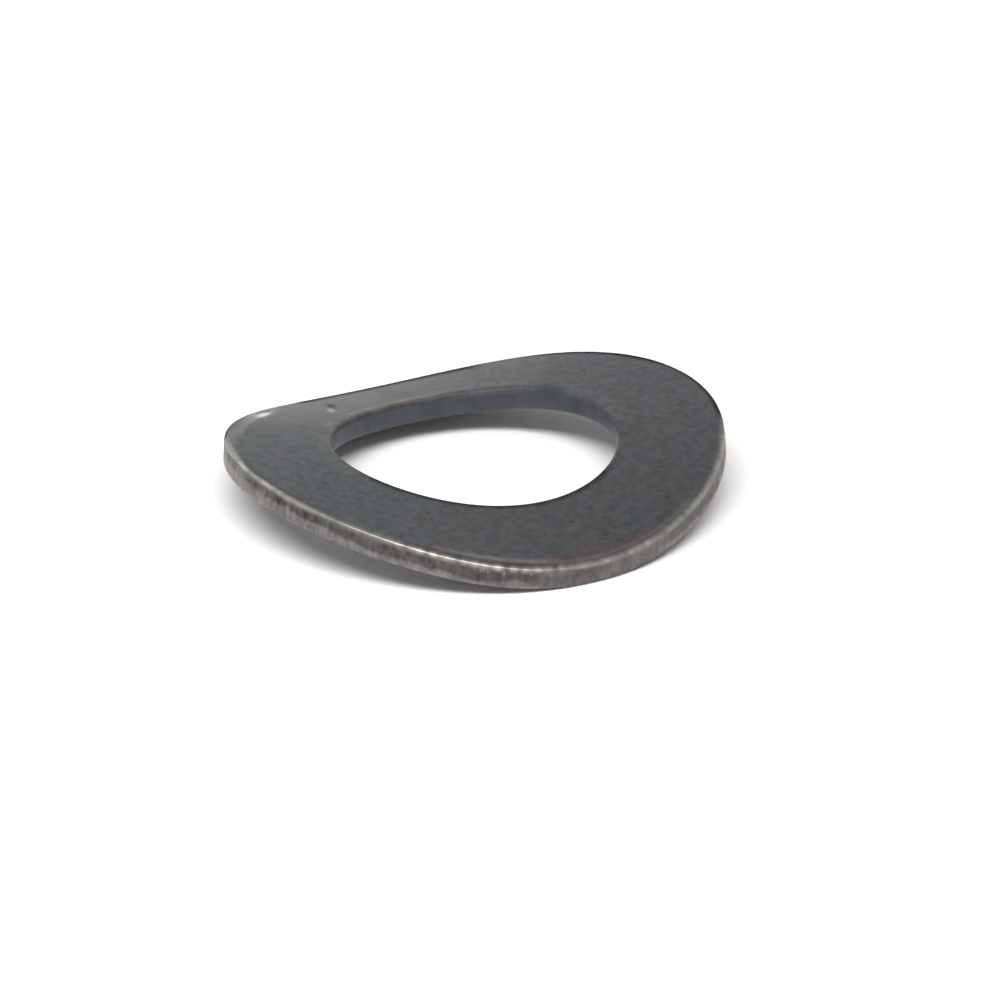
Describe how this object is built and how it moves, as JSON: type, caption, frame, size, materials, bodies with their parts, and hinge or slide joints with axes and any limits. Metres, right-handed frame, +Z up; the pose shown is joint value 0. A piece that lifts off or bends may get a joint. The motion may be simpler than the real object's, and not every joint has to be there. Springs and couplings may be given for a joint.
{
  "type": "curved spring washer",
  "caption": "Curved spring washer: a thin steel ring with a round bore, bent two ways so that two opposite ends stand up and the sides between them touch down.",
  "frame": {"origin": "on the bore's axis, at the level of the surface that the washer's two low sides rest on", "axes": "+Z up along the bore's axis; +X towards one of the two raised ends; +Y towards one of the two low sides"},
  "size_m": [0.015, 0.0152, 0.0023],
  "materials": {
    "steel": "satin"
  },
  "bodies": {
    "root": {"washer": "steel"}
  },
  "joints": []
}
